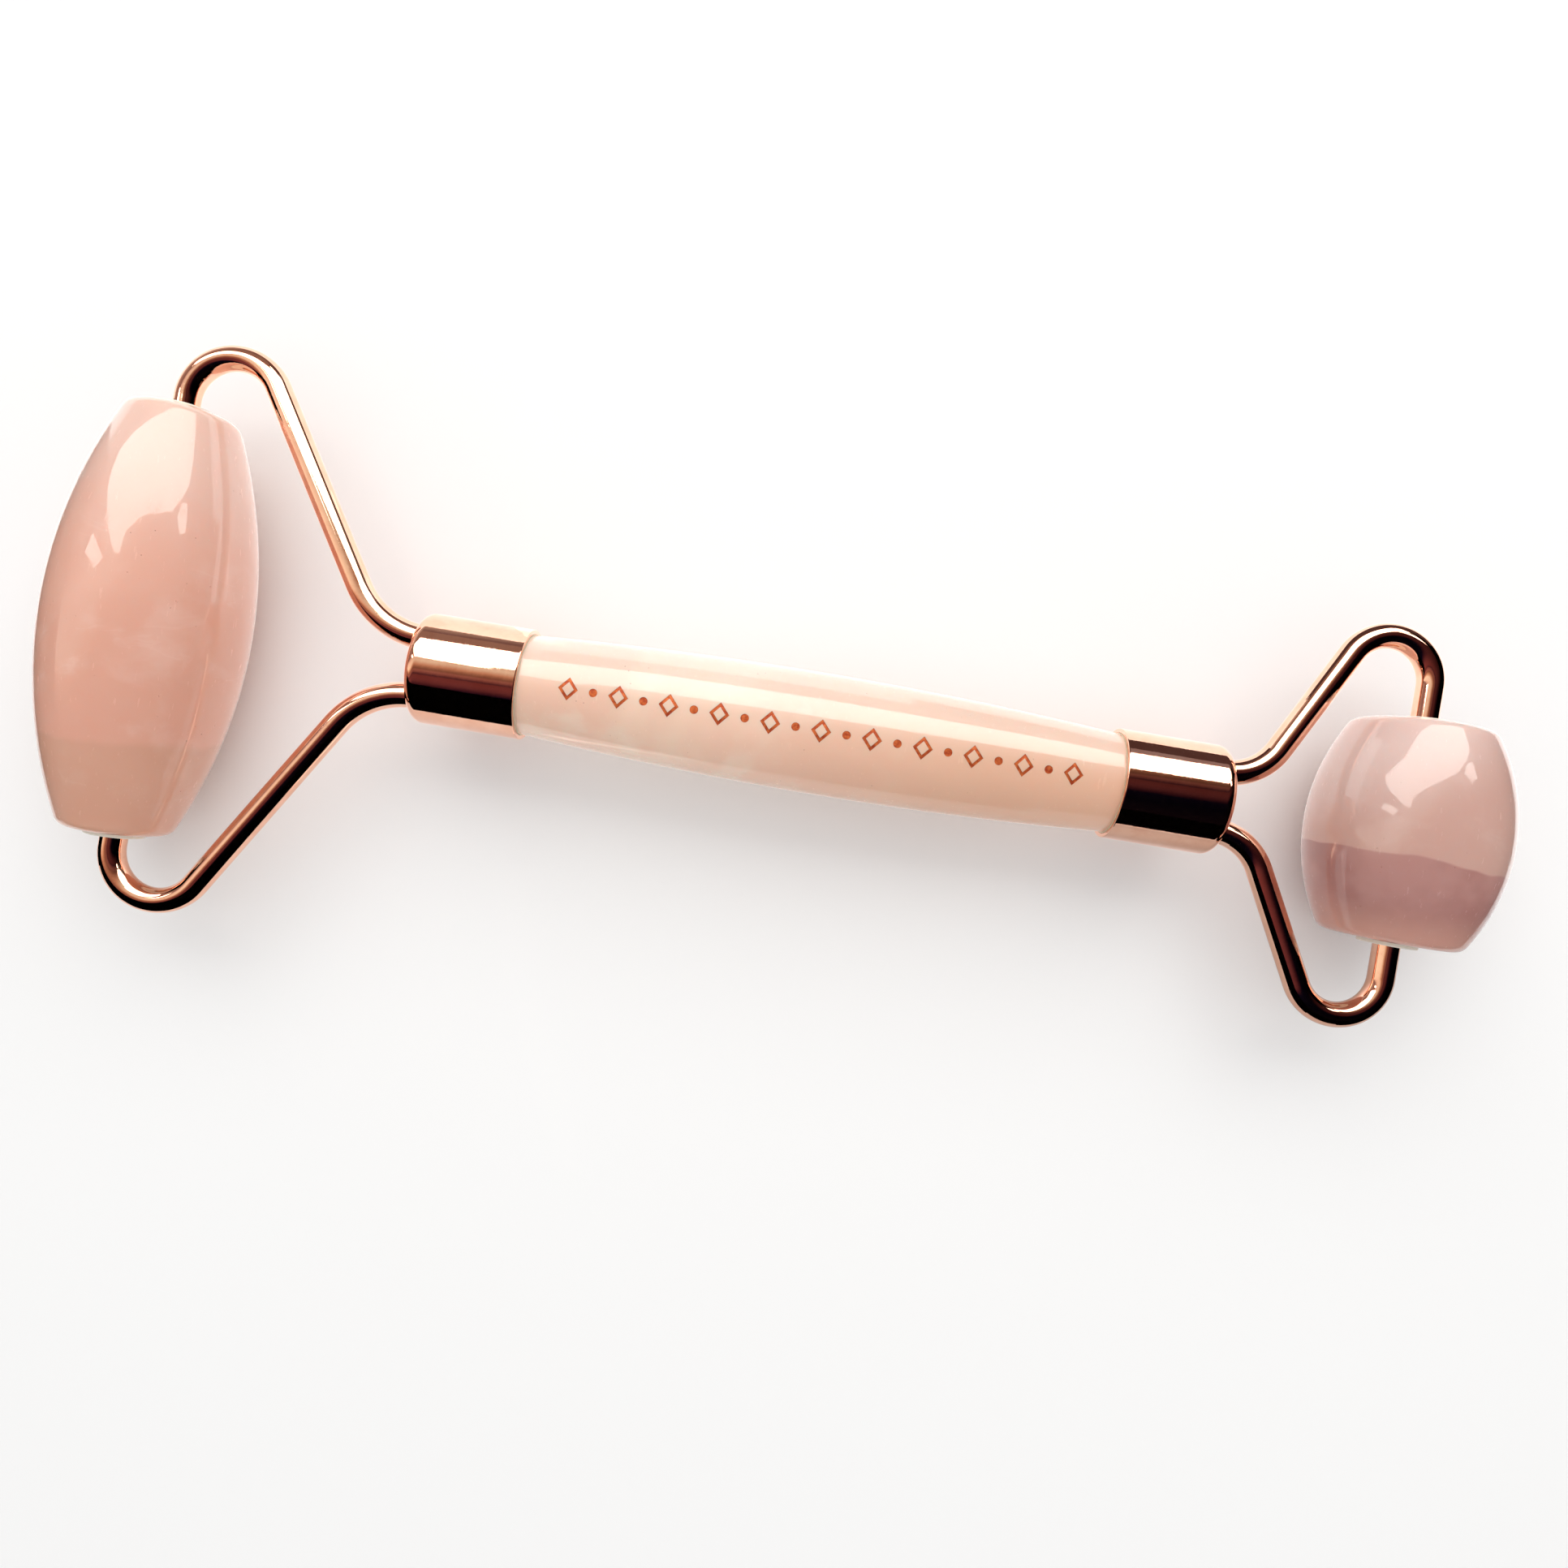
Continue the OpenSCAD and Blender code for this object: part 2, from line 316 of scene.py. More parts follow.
def arm_path(reach, half, bends, pin_end):
    """Points and radii of one wire, from inside the ferrule to the pin's free end, measured
    outward from the handle's rim and from its axis."""
    bend_in, bend_out = bends
    near = Vector((FERRULE_LEN + BEND_STUB, EXIT_Y + bend_in))
    far = Vector((FERRULE_LEN + reach - bend_out, half - bend_out))
    gap = far - near
    cross = math.asin((bend_in + bend_out) / gap.length)
    lean = math.degrees(math.atan2(gap.y, gap.x) + cross)
    near_bend = arc(near.x, near.y, bend_in, -90, lean - 90, steps=48)
    far_bend = arc(far.x, far.y, bend_out, lean + 90, 0, steps=96)
    start, stop = Vector(near_bend[-1]), Vector(far_bend[0])
    straight = [tuple(start.lerp(stop, part)) for part in (0.02, 0.25, 0.5, 0.75, 0.98)]
    path = [(FERRULE_LEN - WIRE_ROOT, EXIT_Y), (FERRULE_LEN, EXIT_Y)]
    path += near_bend + straight + far_bend
    pin_x = FERRULE_LEN + reach
    path += [(pin_x, far.y - WIDE_LOOP), (pin_x, pin_end + PIN_CHAMFER), (pin_x, pin_end)]
    radii = [WIRE_R] * (len(path) - 1) + [WIRE_R - PIN_CHAMFER]
    return path, radii


def yoke_arm(name, node, stone_node, bends):
    """One bent wire, in the place of its own node, with its pin on the axis of its stone."""
    lo, hi = node_box(node)
    stone_lo, stone_hi = node_box(stone_node)
    stone_x = node_middle(stone_node).x
    end = 1 if stone_x > HANDLE_X else -1
    side = 1 if lo.y + hi.y > 0 else -1
    rim = HANDLE_X + end * HALF_GRIP
    reach = end * (stone_x - rim) - FERRULE_LEN
    half = max(abs(lo.y), abs(hi.y)) - WIRE_R
    pin_end = (stone_hi.y - stone_lo.y) / 2 - PIN_DEPTH
    path, radii = arm_path(reach, half, bends, pin_end)
    path = [(rim + end * x, side * y) for x, y in path]
    return sweep(name, path, radii)


# ---- the handle and its ornament -----------------------------------------------------------------

def lozenge(k):
    """Corners of the lozenge outline at k times its size."""
    w, h = k * LOZENGE_W / 2, k * LOZENGE_H / 2
    return [(w, 0), (0, h), (-w, 0), (0, -h)]


def motif_outlines():
    """(centre x, outer outline, inner outline or None) of each motif, round the handle's middle."""
    shrink = 1 - 2 * LINE_W / min(LOZENGE_W, LOZENGE_H)
    motifs = []
    for i in range(MOTIF_COUNT):
        x = (i - (MOTIF_COUNT - 1) / 2) * MOTIF_PITCH
        if i % 2 == 0:
            motifs.append((x, lozenge(1), lozenge(shrink)))
        else:
            motifs.append((x, arc(0, 0, DOT_D / 2, 0, 360, steps=48)[:-1], None))
    return motifs


def motif_prisms(name):
    """One closed prism per motif, from the engraving's floor up through the crown."""
    verts, faces = [], []
    top = AXIS_Z + HANDLE_MID_R + CUT_PAST
    for x, outer, inner in motif_outlines():
        floor = AXIS_Z + barrel_r(x, HALF_GRIP, HANDLE_MID_R, HANDLE_END_R) - ENGRAVE_DEPTH
        n = len(outer)
        loops = []
        for outline in (outer, inner):
            if outline is None:
                continue
            for z in (floor, top):
                loops.append(range(len(verts), len(verts) + n))
                verts += [(HANDLE_X + x + px, py, z) for px, py in outline]
        for k in range(n):
            j = (k + 1) % n
            a, b = loops[0], loops[1]
            faces.append((a[k], a[j], b[j], b[k]))
            if inner is not None:
                c, d = loops[2], loops[3]
                faces.append((c[j], c[k], d[k], d[j]))
                faces.append((a[j], a[k], c[k], c[j]))
                faces.append((b[k], b[j], d[j], d[k]))
        if inner is None:
            faces.append(tuple(reversed(loops[0])))
            faces.append(tuple(loops[1]))
    return make_object(name, verts, faces)


def grip_curve(inset=0):
    """Outline points of the handle's barrel from one rim to the other."""
    steps = 120
    span = [-HALF_GRIP + 2 * HALF_GRIP * i / steps for i in range(steps + 1)]
    return [(s, barrel_r(s, HALF_GRIP, HANDLE_MID_R - inset, HANDLE_END_R - inset)) for s in span]


def smooth_barrel_normals(mesh):
    """Gives every corner on the handle's outer face the true normal of the barrel. The ends, the
    rims and the engraved walls, which face another way, keep their own."""
    on_axis, rim_margin, same_way = 1, 0.01, 0.985
    big = barrel_arc_r(HALF_GRIP, HANDLE_MID_R, HANDLE_END_R)
    normals = [Vector(n.vector) for n in mesh.corner_normals]
    for face in mesh.polygons:
        for corner in face.loop_indices:
            co = mesh.vertices[mesh.loops[corner].vertex_index].co / MM
            axial = Vector((0, co.y, co.z - AXIS_Z))
            if axial.length < on_axis or abs(co.x - HANDLE_X) > HALF_GRIP - rim_margin:
                continue
            middle = Vector((HANDLE_X, 0, AXIS_Z))
            arc_centre = middle - axial.normalized() * (big - HANDLE_MID_R)
            normal = (co - arc_centre).normalized()
            if normal.dot(face.normal) > same_way:
                normals[corner] = normal
    mesh.normals_split_custom_set(normals)


def handle():
    """The barrel with its two tails, and the motifs cut into its crown."""
    tail = HALF_GRIP + HANDLE_TAIL
    profile = [(-tail, 0.0), (-tail, HANDLE_TAIL_R), (-HALF_GRIP, HANDLE_TAIL_R)]
    profile += grip_curve()
    profile += [(HALF_GRIP, HANDLE_TAIL_R), (tail, HANDLE_TAIL_R), (tail, 0.0)]
    obj = revolve("handle", profile, "x", (HANDLE_X, 0, AXIS_Z), closed=False)
    cut_with(obj, motif_prisms("cutter"), "DIFFERENCE")
    shade(obj.data, sharp_deg=30)
    smooth_barrel_normals(obj.data)
    return obj


def gilt_fill():
    """Fills each engraved motif to just under the stone's surface."""
    obj = motif_prisms("gilt_fill")
    end = HALF_GRIP + CUT_PAST
    core = [(-end, 0.0)] + grip_curve(inset=FILL_RECESS) + [(end, 0.0)]
    tool = revolve("core", core, "x", (HANDLE_X, 0, AXIS_Z), closed=False)
    cut_with(obj, tool, "INTERSECT")
    shade(obj.data, sharp_deg=30)
    return obj


# ---- shader graphs -------------------------------------------------------------------------------

def srgb(r, g, b):
    """Linear colour of 0 to 255 display values."""
    def lin(v):
        v /= 255
        return v / 12.92 if v <= 0.04045 else ((v + 0.055) / 1.055) ** 2.4
    return (lin(r), lin(g), lin(b), 1.0)


def grey(level):
    return (level, level, level, 1)


BLACK = grey(0)


class Graph:
    """Short names for the shader nodes of one material or world. Its positions are in the
    object's own coordinates, which are those of the row frame, in millimetres."""

    def __init__(self, owner):
        owner.use_nodes = True
        self.owner, self.tree = owner, owner.node_tree
        self.tree.nodes.clear()

    def node(self, kind, inputs, **settings):
        """A node of that kind with its settings, and with a value or a link in each input."""
        made = self.tree.nodes.new("ShaderNode" + kind)
        for key, value in settings.items():
            setattr(made, key, value)
        for key, value in inputs.items():
            if isinstance(value, bpy.types.NodeSocket):
                self.tree.links.new(value, made.inputs[key])
            else:
                made.inputs[key].default_value = value
        return made

    def position(self):
        coords = self.node("TexCoord", {}).outputs["Object"]
        return self.vector("SCALE", {0: coords, "Scale": 1 / MM})

    def vector(self, operation, inputs):
        return self.node("VectorMath", inputs, operation=operation).outputs["Vector"]

    def math(self, operation, a, b=0.0, c=0.0):
        return self.node("Math", {0: a, 1: b, 2: c}, operation=operation).outputs[0]

    def split(self, vector):
        return self.node("SeparateXYZ", {0: vector}).outputs

    def axis(self, index):
        return self.split(self.position())[index]

    def light_path(self, kind):
        return self.node("LightPath", {}).outputs[kind]

    def noise(self, scale, detail=3.0, rough=0.5, warp=0.0, stretch=None, shift=(0, 0, 0)):
        at = self.vector("ADD", {0: self.position(), 1: shift})
        if stretch is not None:
            at = self.vector("MULTIPLY", {0: at, 1: stretch})
        inputs = {"Vector": at, "Scale": scale, "Detail": detail, "Roughness": rough,
                  "Distortion": warp}
        return self.node("TexNoise", inputs).outputs[0]

    def cells(self, scale):
        """Distance to the nearest of many scattered points."""
        inputs = {"Vector": self.position(), "Scale": scale}
        return self.node("TexVoronoi", inputs).outputs["Distance"]

    def span(self, value, lo, hi, out_lo=0.0, out_hi=1.0):
        """Smoothly maps value from lo..hi to out_lo..out_hi, clamped."""
        inputs = {"Value": value, "From Min": lo, "From Max": hi, "To Min": out_lo,
                  "To Max": out_hi}
        return self.node("MapRange", inputs, interpolation_type="SMOOTHSTEP").outputs[0]

    def mix(self, factor, a, b, blend="MIX"):
        inputs = {0: factor, 6: a, 7: b}
        return self.node("Mix", inputs, data_type="RGBA", blend_type=blend).outputs[2]

    def bump(self, height, distance, normal=None):
        """A bump whose full height is that distance in millimetres, on top of normal."""
        inputs = {"Height": height, "Distance": distance * MM, "Strength": 1.0}
        if normal is not None:
            inputs["Normal"] = normal
        return self.node("Bump", inputs).outputs[0]

    def output(self, kind, shader):
        """Ends the graph in that shader node, and returns its material or world."""
        self.node(kind, {"Surface": shader.outputs[0]})
        return self.owner

    def finish(self, **sockets):
        """Ends the graph in a principled shader, with an underscore for each space in a name."""
        inputs = {key.replace("_", " "): value for key, value in sockets.items()}
        return self.output("OutputMaterial", self.node("BsdfPrincipled", inputs))


def material_graph(name):
    return Graph(bpy.data.materials.new(name))


# ---- materials -----------------------------------------------------------------------------------

def quartz(name, pale, mid, deep, zones_and_painted_light, shift, depth):
    """Polished, cloudy rose quartz. The zone function, given the graph and a colour, returns the
    colour with the stone's own zones and its painted pale light added. depth is how far red light
    spreads inside, in millimetres."""
    g = material_graph(name)
    cloud = g.noise(0.06, warp=0.5, shift=shift)
    fine = g.noise(0.22, detail=4.0, warp=0.4, shift=shift)
    colour = g.mix(g.span(cloud, 0.36, 0.62), deep, mid)
    colour = g.mix(g.math("MULTIPLY", g.span(fine, 0.48, 0.8), 0.45), colour, pale)
    wisp = g.noise(0.1, detail=4.0, warp=0.8, stretch=(0.5, 1.4, 1.0), shift=shift)
    veins = g.math("ABSOLUTE", g.math("SUBTRACT", wisp, 0.5))
    veil = g.math("MULTIPLY", g.span(veins, 0.02, 0.0), g.span(fine, 0.5, 0.64))
    colour = g.mix(g.math("MULTIPLY", veil, 0.22), colour, pale)
    # The stone's own zones, and pale painted light where the stone is lit or reflects the floor.
    colour = zones_and_painted_light(g, colour)
    specks = g.span(g.cells(1.15), 0.09, 0.04)
    sparse = g.span(g.noise(0.2, detail=2.0, shift=(31, 7, 3)), 0.55, 0.64)
    speck = g.math("MULTIPLY", specks, sparse)
    colour = g.mix(g.math("MULTIPLY", speck, 0.4), colour, srgb(150, 95, 82))
    pits = g.bump(g.math("SUBTRACT", 0.0, speck), 0.05)
    lapped = g.bump(g.noise(0.4, detail=2.0), 0.010, normal=pits)
    # Polishing streaks along Y ripple the shine a little, and dull it in places.
    streaks = g.noise(3.0, detail=4.0, rough=0.65, stretch=(1.0, 0.15, 1.0), shift=shift)
    brushed = g.bump(streaks, 0.0022, normal=lapped)
    rough = g.span(streaks, 0.54, 0.74, 0.02, 0.4)
    return g.finish(
        Base_Color=colour, Roughness=rough, IOR=1.55, Normal=brushed,
        Subsurface_Weight=0.75, Subsurface_Radius=(depth, 0.6 * depth, 0.48 * depth),
        Subsurface_Scale=MM, Coat_Weight=0.5, Coat_Roughness=0.3, Coat_IOR=1.4,
    )


def handle_tone_and_painted_light(g, colour):
    """Pinker towards the small end of the handle, and paler along its +Y side, where painted light
    stands in for the window's light on that side.
    """
    sway = g.noise(0.05, detail=2.0, shift=(5, 11, 2))
    along = g.math("MULTIPLY_ADD", sway, 14.0, g.axis(0))
    pink = g.math("MULTIPLY", g.span(along, 2.0, 26.0), 0.85)
    colour = g.mix(pink, colour, srgb(231, 184, 156))
    # Painted light: paler along the +Y side, which faces the window.
    painted_pale_light = g.math("MULTIPLY", g.span(g.axis(1), -1.0, 4.0), 0.45)
    return g.mix(painted_pale_light, colour, srgb(240, 224, 214))


def large_zones_and_painted_haze(g, colour):
    """A tan end beyond a soft, wavy boundary, and at the other end a painted haze of the window's
    highlight.
    """
    y = g.axis(1)
    slope = g.math("MULTIPLY_ADD", g.axis(0), -0.09, y)
    edge = g.math("MULTIPLY_ADD", g.noise(0.12, detail=2.0, rough=0.4), 4.0, slope)
    end = g.span(edge, -3.7, -4.5)
    colour = g.mix(g.math("MULTIPLY", end, 0.38), colour, srgb(200, 158, 132))
    # Painted highlight haze: paler towards the +Y end, round the window's highlight.
    painted_pale_light = g.span(g.math("MULTIPLY_ADD", g.noise(0.1, detail=2.0), 8.0, y), 8.0, 20.0)
    return g.mix(g.math("MULTIPLY", painted_pale_light, 0.6), colour, srgb(236, 208, 196))


def small_zones_and_painted_reflection(g, colour):
    """A mauve end beyond a sharp, gently wavy boundary, a painted reflection of the pale floor in
    the corner towards the handle and +Y, and a paler rim at the mauve end."""
    y = g.axis(1)
    slope = g.math("MULTIPLY_ADD", g.axis(0), 0.045, y)
    sway = g.math("MULTIPLY_ADD", g.noise(0.13, detail=2.0, rough=0.4), 2.2, slope)
    end = g.span(sway, 1.35, 1.1)
    mauve = g.mix(g.span(g.noise(0.2), 0.35, 0.65), srgb(168, 118, 113), srgb(184, 137, 131))
    colour = g.mix(g.math("MULTIPLY", end, 0.85), colour, mauve)
    # Painted reflection of the pale floor: paler in the corner towards the handle and +Y.
    rise = g.math("MULTIPLY_ADD", g.axis(0), -0.6, y)
    painted_pale_light = g.math("MULTIPLY", g.span(rise, -35.6, -25.6), 0.6)
    colour = g.mix(painted_pale_light, colour, srgb(232, 212, 206))
    return g.mix(g.math("MULTIPLY", g.span(y, -6.5, -10.0), 0.6), colour, srgb(212, 166, 150))


def rose_gold(name):
    """Mirror plating with faint polishing marks, soft dents and a few worn spots."""
    g = material_graph(name)
    patch = g.noise(0.5, rough=0.6)
    colour = g.mix(g.span(patch, 0.35, 0.7), srgb(243, 192, 166), srgb(236, 180, 153))
    wear = g.math("MULTIPLY", g.span(g.cells(1.6), 0.07, 0.03), g.span(patch, 0.5, 0.6))
    colour = g.mix(g.math("MULTIPLY", wear, 0.6), colour, srgb(150, 92, 70))
    fine = g.noise(3.2, rough=0.6)
    rough = g.span(fine, 0.35, 0.8, 0.025, 0.09)
    wavy = g.bump(g.noise(0.8, detail=2.0), 0.004)
    marks = g.bump(fine, 0.0012, normal=wavy)
    return g.finish(Base_Color=colour, Metallic=1.0, Roughness=rough, Normal=marks)


def nylon():
    g = material_graph("nylon_natural")
    grain = g.noise(2.5)
    colour = g.mix(grain, srgb(232, 222, 205), srgb(246, 240, 228))
    return g.finish(
        Base_Color=colour, Roughness=g.span(grain, 0.3, 0.7, 0.35, 0.5),
        Normal=g.bump(grain, 0.01), Subsurface_Weight=0.3,
        Subsurface_Radius=(1.0, 0.9, 0.7), Subsurface_Scale=0.5 * MM,
    )


def copper_paint():
    g = material_graph("copper_paint")
    blotch = g.noise(2.4, detail=4.0, rough=0.6)
    colour = g.mix(g.span(blotch, 0.35, 0.65), srgb(172, 60, 16), srgb(212, 106, 46))
    grit = g.noise(9.0, detail=2.0)
    return g.finish(
        Base_Color=colour, Metallic=0.35, Roughness=g.span(grit, 0.3, 0.7, 0.3, 0.55),
        Normal=g.bump(blotch, 0.05),
    )


def epoxy():
    g = material_graph("epoxy_cured")
    haze = g.noise(0.8)
    colour = g.mix(haze, srgb(226, 212, 172), srgb(238, 228, 200))
    return g.finish(Base_Color=colour, Roughness=g.span(haze, 0.3, 0.7, 0.2, 0.4),
                    Normal=g.bump(haze, 0.02))


# ---- put together --------------------------------------------------------------------------------

def place(obj, material, body, slot, *nodes):
    """Gives a piece its material and its body, and hides the CAD nodes that it stands for. slot is
    not used.
    """
    obj.data.materials.clear()
    obj.data.materials.append(material)
    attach(obj, body)
    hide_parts(*nodes)


def build_roller():
    plating, wire = rose_gold("rose_gold_plate"), rose_gold("rose_gold_wire")
    white = nylon()
    place(roller_stone("stone_large", "large_roller_stone", LARGE_END_D),
          quartz("quartz_large", srgb(236, 200, 186), srgb(229, 179, 160), srgb(223, 170, 150),
                 large_zones_and_painted_haze, shift=(0, 0, 0), depth=5.0),
          "large_roller", "quartz_large_roller", "large_roller_stone")
    place(roller_stone("stone_small", "small_roller_stone", SMALL_END_D),
          quartz("quartz_small", srgb(218, 188, 178), srgb(205, 166, 154), srgb(198, 156, 144),
                 small_zones_and_painted_reflection, shift=(17, 5, 9), depth=5.0),
          "small_roller", "quartz_small_roller", "small_roller_stone")
    place(handle(),
          quartz("quartz_handle", srgb(250, 230, 212), srgb(249, 216, 194), srgb(243, 203, 181),
                 handle_tone_and_painted_light, shift=(40, 2, 4), depth=0.4),
          "handle_frame", "quartz_handle", "handle_stone")
    place(gilt_fill(), copper_paint(), "handle_frame", "gilt_fill", "handle_gilt_ornament")
    for end, sign, bends in (("large", -1, LARGE_BENDS), ("small", 1, SMALL_BENDS)):
        place(ferrule("ferrule_" + end, sign), plating, "handle_frame", "rose_gold_plate",
              end + "_ferrule")
        for side, y in (("left", 1), ("right", -1)):
            arm_node = f"{end}_yoke_arm_{side}"
            place(yoke_arm(f"wire_{end}_{side}", arm_node, end + "_roller_stone", bends),
                  wire, "handle_frame", "rose_gold_wire", arm_node)
            bush_node = f"{end}_bushing_{side}"
            place(bushing(f"sleeve_{end}_{side}", bush_node, y), white, end + "_roller",
                  "bushing_nylon", bush_node)
    glue = epoxy()
    for node in ("large_ferrule_adhesive", "small_ferrule_adhesive"):
        kept = frame["nodes"][node]
        kept.data.materials.clear()
        kept.data.materials.append(glue)


# ---- what the studio shows -----------------------------------------------------------------------

FLOOR_LEVEL = 0.93
BACKDROP_LEVEL = 0.96        # what the camera sees behind the floor
WORLD_LEVEL = 0.64           # even light from all round

# What reflections see of the dim studio: angle from straight up towards +Y in degrees, and the
# colour there. The bands lean by BAND_LEAN degrees for each unit of the direction's X, and
# brighten towards -X by BAND_FADE for each unit.
BAND_LEAN = 49
BAND_FADE = 1.1
BAND_TURN = 220              # degrees that the whole list of bands may span
BANDS = (
    (-108, (0.012, 0.006, 0.008)), (-40, (0.001, 0.001, 0.005)), (-26, (0.003, 0.002, 0.010)),
    (-21, (0.042, 0.011, 0.018)), (-15, (0.10, 0.030, 0.035)), (-9, (0.125, 0.036, 0.038)),
    (-3, (0.12, 0.034, 0.034)), (0, (0.06, 0.020, 0.026)), (3, (0.15, 0.058, 0.055)),
    (7, (0.235, 0.105, 0.088)), (11, (0.17, 0.085, 0.060)), (15, (0.27, 0.15, 0.10)),
    (19, (0.44, 0.27, 0.185)), (27, (0.62, 0.60, 0.50)), (40, (0.60, 0.55, 0.48)),
    (50, (0.45, 0.38, 0.32)), (57, (0.25, 0.19, 0.17)), (64, (0.13, 0.080, 0.085)),
    (72, (0.18, 0.12, 0.11)), (80, (0.22, 0.16, 0.13)), (94, (0.15, 0.10, 0.10)),
    (108, (0.35, 0.30, 0.27)),
)

# Outlines of the window and of the panes beside it, in millimetres, at the height WINDOW_Z.
WINDOW_Z = 400
WINDOW_OUTLINE = (
    (-150, 112), (-205, 118), (-260, 140), (-320, 174), (-419, 225), (-564, 308), (-681, 403),
    (-770, 518), (-372, 521), (-287, 659), (-207, 770), (200, 860), (400, 1060), (560, 1180),
    (600, 980), (545, 660), (485, 507), (345, 370), (227, 280), (74, 226), (-75, 186),
    (-145, 156),
)
PANE_LEFT = ((-600, 150), (-530, 184), (-285, 110), (-340, 90))
PANE_RIGHT = ((372, 372), (300, 296), (380, 262), (510, 320), (478, 420))
PANE_DIM = ((380, 1075), (550, 1200), (650, 1190), (1400, 2800), (900, 2800))

# A grey card at the height TRIM_Z, which trims the window as the large stone sees it.
TRIM_Z = 60
TRIM_OUTLINE = (
    (-170, 74), (-95, 74), (-77, 77), (-64, 82), (-50, 95), (-50, 200), (-170, 200),
)

# Middle lines of pale strips on the floor, which draw the fine line along the large stone's side.
STRIP_LINES = (
    ("strip_upper", ((-12, 60), (-32, 35), (-29, 20), (-28, 8))),
    ("strip_lower", ((-26, -19), (-23, -30), (-14, -50))),
)
STRIP_W = 3.6

# Upright cards round the object: name, tone, both ends, bottom and top height.
FLAGS = (
    ("flag_large_end", "black", (-91, -34), (-91, 28), 0, 26),
    ("flag_small_end", "black", (100, -90), (100, 90), 0, 40),
    ("flag_near_left", "black", (-220, -56), (-45, -56), 0, 80),
    ("flag_near_middle", "black", (-45, -56), (50, -83), 0, 80),
    ("flag_near_right", "black", (50, -83), (220, -92), 15, 80),
    ("flag_far", "brown", (18, 46), (120, 46), 0, 20),
)

FLOOR_HALF = 3000
FLOOR_Z = -0.02              # just under the stones, so that nothing lies in one plane with it

# Lights that no reflection sees: name, place and size in millimetres, watts and colour.
LIGHTS = (
    ("window_soft", (-20, 450, 420), (900, 500), 2.5, (1, 0.98, 0.95)),
    ("soft_overhead", (0, -50, 900), (1200, 1200), 1.5, (1, 1, 1)),
)

# The camera looks straight down, from the place and with the lens, both in millimetres, that
# were fitted to the photograph.
CAMERA_PLACE = (1.545, -5.43, 113.1)
CAMERA_ROLL_DEG = 9.54
SENSOR_WIDTH = 36.0
CAMERA_LENS = 24.2236025


def world():
    """Reflections see the bands, the camera sees an even pale backdrop, and all other light from
    the world is even and neutral."""
    surroundings = bpy.data.worlds.new("studio")
    bpy.context.scene.world = surroundings
    g = Graph(surroundings)
    x, y, z = g.split(g.node("TexCoord", {}).outputs["Generated"])
    angle = g.math("MULTIPLY", g.math("ARCTAN2", y, z), 180 / math.pi)
    angle = g.math("MULTIPLY_ADD", x, -BAND_LEAN, angle)
    ramp = g.node("ValToRGB", {"Fac": g.math("MULTIPLY_ADD", angle, 1 / BAND_TURN, 0.5)})
    stops = ramp.color_ramp.elements
    for i, (degrees, colour) in enumerate(BANDS):
        where = degrees / BAND_TURN + 0.5
        if i < len(stops):
            stops[i].position = where
        else:
            stops.new(where)
        stops[i].color = (*colour, 1)
    level = g.math("MULTIPLY_ADD", x, -BAND_FADE, 1.0)
    bands = g.mix(1.0, ramp.outputs[0], level, "MULTIPLY")
    seen = g.mix(g.light_path("Is Glossy Ray"), grey(WORLD_LEVEL), bands)
    seen = g.mix(g.light_path("Is Camera Ray"), seen, grey(BACKDROP_LEVEL))
    g.output("OutputWorld", g.node("Background", {"Color": seen}))


def floor_white():
    """A matt white sheet that turns into an even backdrop far from the object. Reflections see a
    painted glow on it, brighter on the window's side, and a painted shadow beside the near side of
    the handle."""
    g = material_graph("floor_white")
    glossy = g.light_path("Is Glossy Ray")
    x, y = g.axis(0), g.axis(1)
    # Painted light for reflections: the floor glows brighter towards the window.
    painted_glow = g.math("MULTIPLY", glossy, g.span(y, -20, 12, 0.02, 0.5))
    # Painted shadow for reflections, beside the near side of the handle.
    shadow = g.math("MULTIPLY", g.span(x, -25, -5), g.span(y, -4, -16, 0.0, 0.35))
    shadow = g.math("MULTIPLY", glossy, shadow)
    radius = g.math("SQRT", g.math("MULTIPLY_ADD", x, x, g.math("MULTIPLY", y, y)))
    far = g.span(radius, 180, 620)
    sheet = g.mix(far, grey(FLOOR_LEVEL), BLACK)
    sheet = g.mix(shadow, sheet, BLACK)
    return g.finish(Base_Color=sheet, Roughness=0.9, Specular_IOR_Level=0.1,
                    Emission_Color=grey(1),
                    Emission_Strength=g.math("MULTIPLY_ADD", far, BACKDROP_LEVEL, painted_glow))


def window_glow():
    """Warm, even light from the window and the panes beside it."""
    return material_graph("window_glow").finish(
        Base_Color=BLACK, Emission_Color=(1.0, 0.965, 0.91, 1), Emission_Strength=4.8)


def even_card(name, colour):
    """A material of one even colour that no light changes."""
    return material_graph(name).finish(
        Base_Color=BLACK, Specular_IOR_Level=0.0, Emission_Color=colour, Emission_Strength=1.0)


def stage_card(name, corners, material):
    """A flat card that only shiny surfaces see."""
    obj = make_object(name, corners, [tuple(range(len(corners)))])
    obj.data.materials.append(material)
    obj.visible_camera = obj.visible_diffuse = obj.visible_shadow = False


def level_card(name, outline, height, material):
    """A stage card that lies level."""
    stage_card(name, [(x, y, height) for x, y in outline], material)


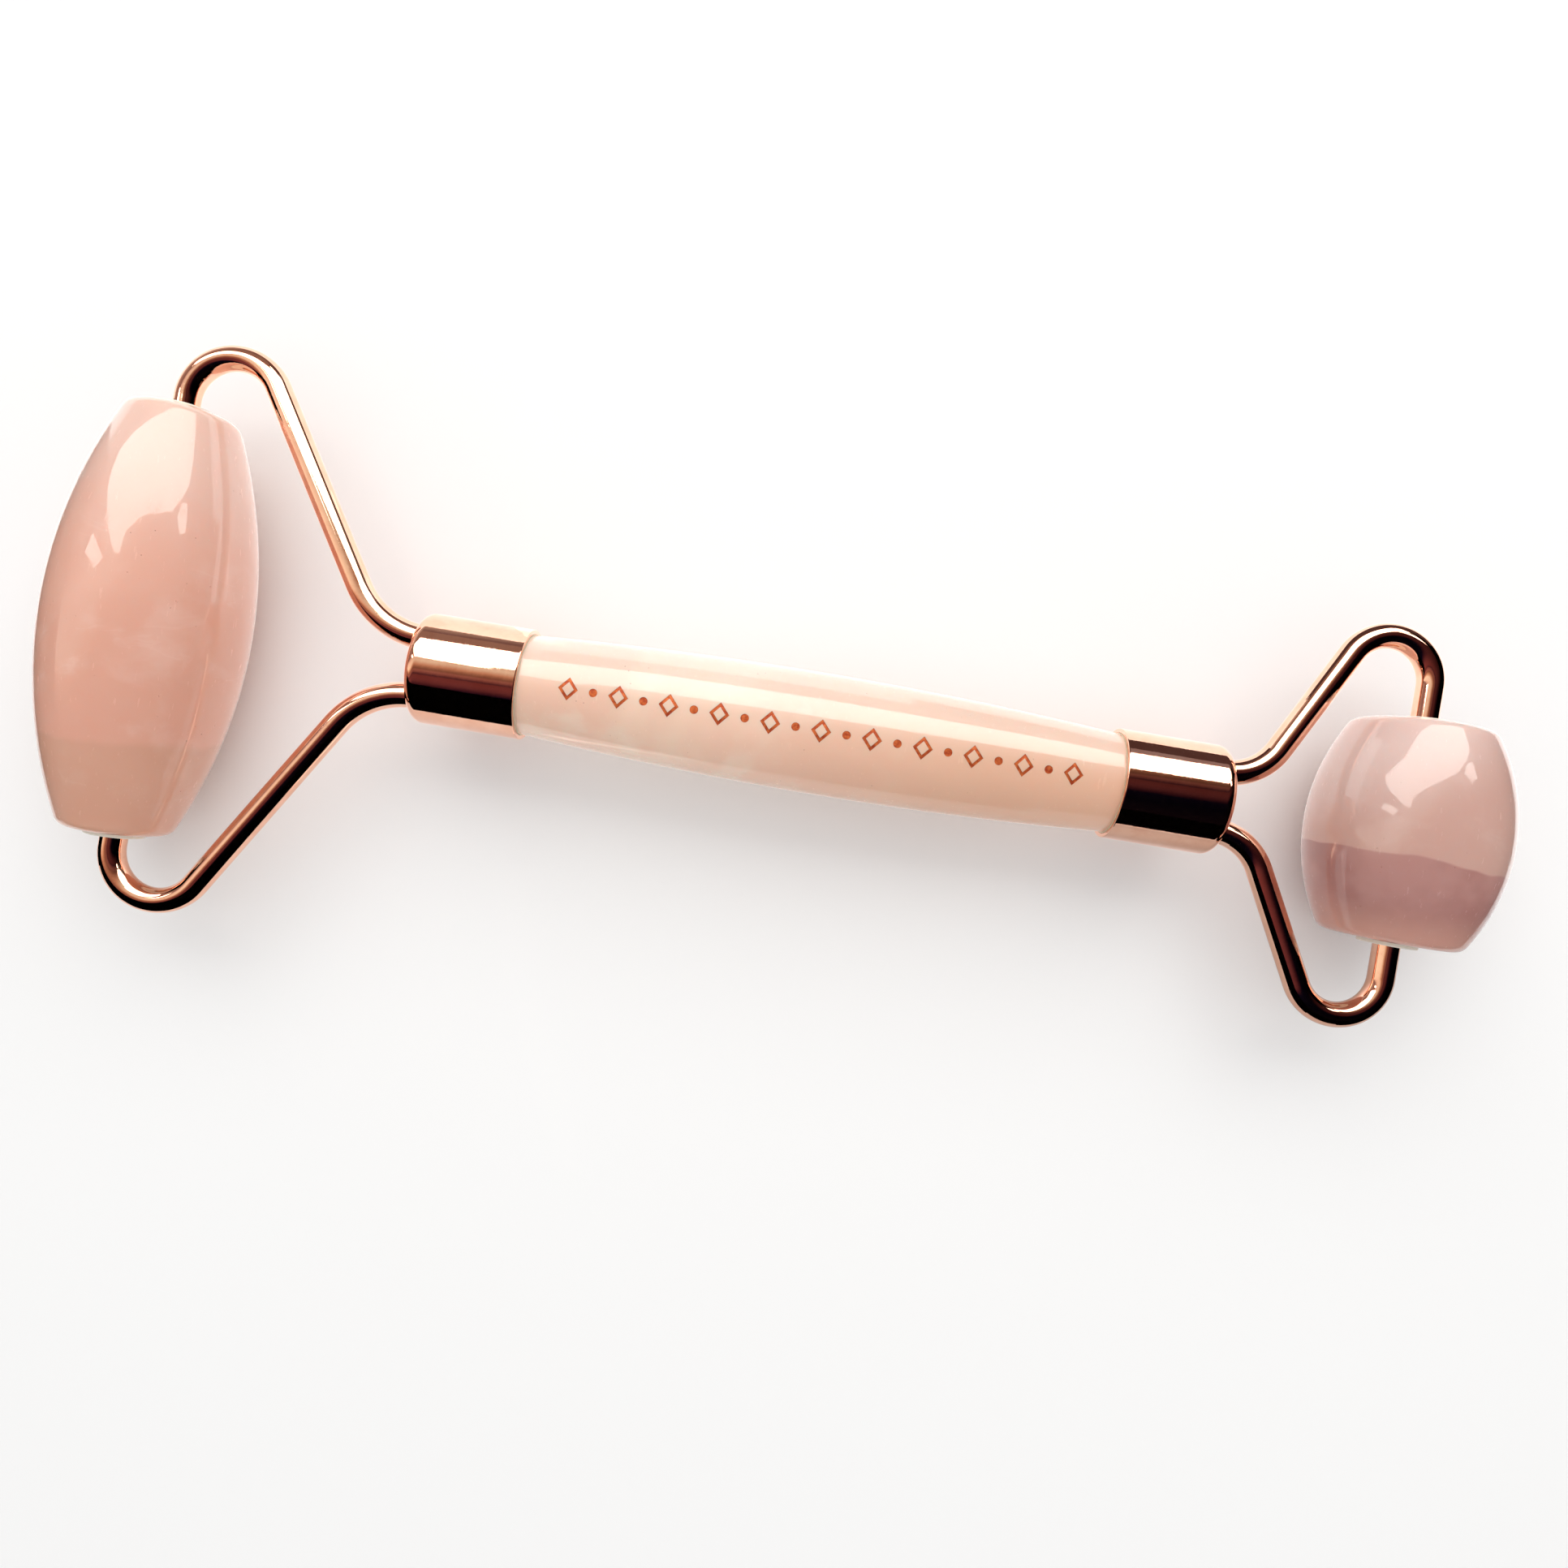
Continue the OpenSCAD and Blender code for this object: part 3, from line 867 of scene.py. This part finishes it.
def area_light(name, where, size, watts, colour):
    """A rectangle of light that faces the origin."""
    data = bpy.data.lights.new(name, "AREA")
    data.shape, data.size, data.size_y = "RECTANGLE", size[0] * MM, size[1] * MM
    data.energy, data.color = watts, colour
    obj = bpy.data.objects.new(name, data)
    obj.location = [c * MM for c in where]
    aim = Vector() - obj.location
    obj.rotation_euler = aim.to_track_quat("-Z", "Y").to_euler()
    obj.visible_glossy = False
    bpy.context.scene.collection.objects.link(obj)


def studio():
    world()
    square = ((-1, -1), (1, -1), (1, 1), (-1, 1))
    corners = [(x * FLOOR_HALF, y * FLOOR_HALF, FLOOR_Z) for x, y in square]
    floor = make_object("floor", corners, [(0, 1, 2, 3)])
    floor.data.materials.append(floor_white())
    light = window_glow()
    level_card("window", WINDOW_OUTLINE, WINDOW_Z, light)
    level_card("pane_left", PANE_LEFT, WINDOW_Z, light)
    level_card("pane_right", PANE_RIGHT, WINDOW_Z, light)
    level_card("pane_dim", PANE_DIM, WINDOW_Z, even_card("card_dim", (0.30, 0.26, 0.28, 1)))
    level_card("trim", TRIM_OUTLINE, TRIM_Z, even_card("card_grey", (0.30, 0.21, 0.18, 1)))
    pale = even_card("strip_glow", (2.6, 2.2, 2.0, 1))
    for name, line in STRIP_LINES:
        near = [(x - STRIP_W / 2, y) for x, y in line]
        far = [(x + STRIP_W / 2, y) for x, y in reversed(line)]
        level_card(name, near + far, 0, pale)
    tones = {
        "black": even_card("card_black", BLACK),
        "brown": even_card("card_brown", (0.09, 0.055, 0.055, 1)),
    }
    for name, tone, (x0, y0), (x1, y1), bottom, top in FLAGS:
        corners = [(x0, y0, bottom), (x1, y1, bottom), (x1, y1, top), (x0, y0, top)]
        stage_card(name, corners, tones[tone])
    for row in LIGHTS:
        area_light(*row)


def camera():
    data = bpy.data.cameras.new("camera")
    data.sensor_width, data.lens = SENSOR_WIDTH, CAMERA_LENS
    data.clip_start, data.clip_end = 0.001, 20
    obj = bpy.data.objects.new("camera", data)
    obj.location = Vector(CAMERA_PLACE) * MM
    obj.rotation_euler = (0, 0, math.radians(CAMERA_ROLL_DEG))
    bpy.context.scene.collection.objects.link(obj)
    bpy.context.scene.camera = obj


build_roller()
studio()
camera()
bpy.context.scene.view_settings.view_transform = "Standard"
